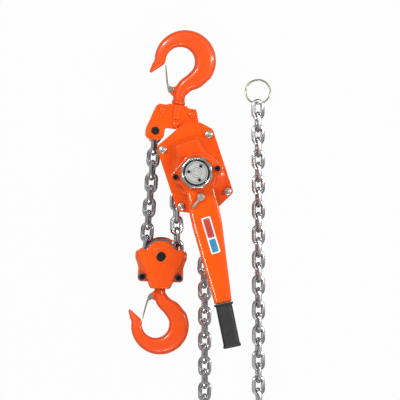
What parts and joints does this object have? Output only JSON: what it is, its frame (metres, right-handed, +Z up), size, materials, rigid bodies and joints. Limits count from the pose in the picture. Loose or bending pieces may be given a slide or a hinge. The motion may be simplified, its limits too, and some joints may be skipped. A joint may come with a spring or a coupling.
{
  "type": "lever chain hoist",
  "caption": "Hand lever chain hoist with two chain falls, a swivel top hook on a yoke, a lower hook block, a free-wheel hand wheel and a long slack chain end with a ring.",
  "frame": {"origin": "on the floor under the middle of the held hoist's box, without the slack chain; the hoist lies on its gear cover", "axes": "+Z up from the floor, towards the hand wheel; +Y from the lower hook towards the top hook; +X to the right of the hoist seen from the hand wheel"},
  "size_m": [0.452, 1.2785, 0.1821],
  "materials": {
    "orange_paint": "glossy powder coat",
    "chrome": "polished chrome plate",
    "zinc": "zinc plated",
    "chain_steel": "bright galvanised alloy chain",
    "machined_steel": "machined, oiled",
    "black_steel": "black oxide",
    "friction_lining": "matt brake lining",
    "black_rubber": "knurled rubber"
  },
  "bodies": {
    "frame": {"gear_cover": "orange_paint", "gear_side_plate": "orange_paint", "ratchet_side_plate": "orange_paint", "brake_cover": "orange_paint", "cover_stud_upper_left": "zinc", "cover_stud_upper_right": "zinc", "cover_stud_lower_left": "zinc", "cover_stud_lower_right": "zinc", "stay_left": "machined_steel", "stay_right": "machined_steel", "stay_lower": "machined_steel", "chain_stripper": "machined_steel", "sheave_bearing_back": "machined_steel", "sheave_bearing_front": "machined_steel", "yoke_plate_front": "orange_paint", "yoke_plate_back": "orange_paint", "hook_socket": "orange_paint", "yoke_pin": "machined_steel", "chain_anchor_pin": "black_steel", "yoke_rivet_1": "orange_paint", "yoke_rivet_2": "orange_paint", "yoke_rivet_3": "orange_paint", "chain_dead_fall": "chain_steel", "chain_live_fall": "chain_steel", "chain_slack": "chain_steel", "chain_end_ring": "zinc"},
    "input_shaft": {"pinion_shaft": "machined_steel", "friction_hub": "machined_steel", "change_gear": "machined_steel", "hand_wheel": "chrome", "wheel_disc": "chrome"},
    "load_sheave": {"load_sheave": "machined_steel", "load_gear": "machined_steel"},
    "disc_gear_1": {"disc_gear_1": "machined_steel"},
    "disc_gear_2": {"disc_gear_2": "machined_steel"},
    "ratchet": {"ratchet_disc": "machined_steel", "friction_disc_1": "friction_lining", "friction_disc_2": "friction_lining"},
    "pawl_1": {"pawl_1": "machined_steel"},
    "pawl_2": {"pawl_2": "machined_steel"},
    "lever": {"lever_rear_case": "orange_paint", "lever_arm": "orange_paint", "lever_grip": "black_rubber", "lever_screw_left": "black_steel", "lever_screw_right": "black_steel"},
    "selector": {"selector_knob": "zinc", "drive_pawl": "machined_steel"},
    "top_hook": {"top_hook": "orange_paint"},
    "top_latch": {"top_latch": "zinc", "top_latch_pin": "zinc"},
    "block": {"block_front_shell": "orange_paint", "block_rear_shell": "orange_paint", "block_axle": "black_steel", "block_bolt_left": "black_steel", "block_bolt_right": "black_steel", "chain_idler_wrap": "chain_steel"},
    "idler": {"idler_sheave": "machined_steel"},
    "bottom_hook": {"bottom_hook": "orange_paint"},
    "bottom_latch": {"bottom_latch": "zinc", "bottom_latch_pin": "zinc"}
  },
  "joints": [
    {"name": "lever_swing", "type": "hinge", "parent": "frame", "child": "lever", "pos_m": [0.0263, 0.0434, 0.13], "axis": [0, 0, 1], "continuous": true},
    {"name": "selector_turn", "type": "hinge", "parent": "lever", "child": "selector", "pos_m": [0.03624, -0.01101, 0.14], "axis": [0, 0, 1], "range_deg": [0, 98]},
    {"name": "hand_wheel_spin", "type": "hinge", "parent": "frame", "child": "input_shaft", "pos_m": [0.0263, 0.0434, 0.1], "axis": [0, 0, -1], "range_deg": [0, 610]},
    {"name": "load_sheave_spin", "type": "hinge", "parent": "frame", "child": "load_sheave", "pos_m": [0.0263, 0.0434, 0.0631], "axis": [0, 0, -1], "range_deg": [0, 100.6]},
    {"name": "disc_gear_1_spin", "type": "hinge", "parent": "frame", "child": "disc_gear_1", "pos_m": [0.01146, 0.08852, 0.02], "axis": [0, 0, 1], "range_deg": [0, 217.9]},
    {"name": "disc_gear_2_spin", "type": "hinge", "parent": "frame", "child": "disc_gear_2", "pos_m": [0.04114, -0.00172, 0.02], "axis": [0, 0, 1], "range_deg": [0, 217.9]},
    {"name": "ratchet_spin", "type": "hinge", "parent": "frame", "child": "ratchet", "pos_m": [0.0263, 0.0434, 0.104], "axis": [0, 0, -1], "continuous": true},
    {"name": "pawl_1_lift", "type": "hinge", "parent": "frame", "child": "pawl_1", "pos_m": [0.0304, 0.10125, 0.104], "axis": [0, 0, 1], "range_deg": [0, 4.8], "stiffness_Nm_per_rad": 0.02, "springref_deg": -17.19},
    {"name": "pawl_2_lift", "type": "hinge", "parent": "frame", "child": "pawl_2", "pos_m": [-0.01171, 0.08721, 0.104], "axis": [0, 0, 1], "range_deg": [0, 4.8], "stiffness_Nm_per_rad": 0.02, "springref_deg": -17.19},
    {"name": "top_hook_swivel", "type": "hinge", "parent": "frame", "child": "top_hook", "pos_m": [-0.0144, 0.2016, 0.0631], "axis": [0.1633, 0.9866, 0], "continuous": true},
    {"name": "top_latch_turn", "type": "hinge", "parent": "top_hook", "child": "top_latch", "pos_m": [-0.03051, 0.22981, 0.0631], "axis": [0, 0, -1], "range_deg": [0, 40], "stiffness_Nm_per_rad": 0.06, "springref_deg": -28.65},
    {"name": "block_lift", "type": "slide", "parent": "frame", "child": "block", "axis": [0, 1, 0], "range_m": [0, 0.0401], "deforming": ["chain_dead_fall", "chain_live_fall"]},
    {"name": "idler_spin", "type": "hinge", "parent": "block", "child": "idler", "pos_m": [-0.0536, -0.1454, 0.038], "axis": [0, 0, 1], "range_deg": [0, 63.7]},
    {"name": "bottom_hook_swivel", "type": "hinge", "parent": "block", "child": "bottom_hook", "pos_m": [-0.0559, -0.21136, 0.038], "axis": [0, 1, 0], "continuous": true},
    {"name": "bottom_latch_turn", "type": "hinge", "parent": "bottom_hook", "child": "bottom_latch", "pos_m": [-0.07517, -0.23505, 0.038], "axis": [0, 0, 1], "range_deg": [0, 40], "stiffness_Nm_per_rad": 0.06, "springref_deg": -28.65}
  ],
  "couplings": [
    {"joint": "load_sheave_spin", "follows": "hand_wheel_spin", "ratio": 0.16484},
    {"joint": "disc_gear_1_spin", "follows": "hand_wheel_spin", "ratio": 0.35714},
    {"joint": "disc_gear_2_spin", "follows": "hand_wheel_spin", "ratio": 0.35714},
    {"joint": "idler_spin", "follows": "hand_wheel_spin", "ratio": 0.1044},
    {"joint": "block_lift", "follows": "hand_wheel_spin", "m_per_rad": 0.0037582}
  ]
}
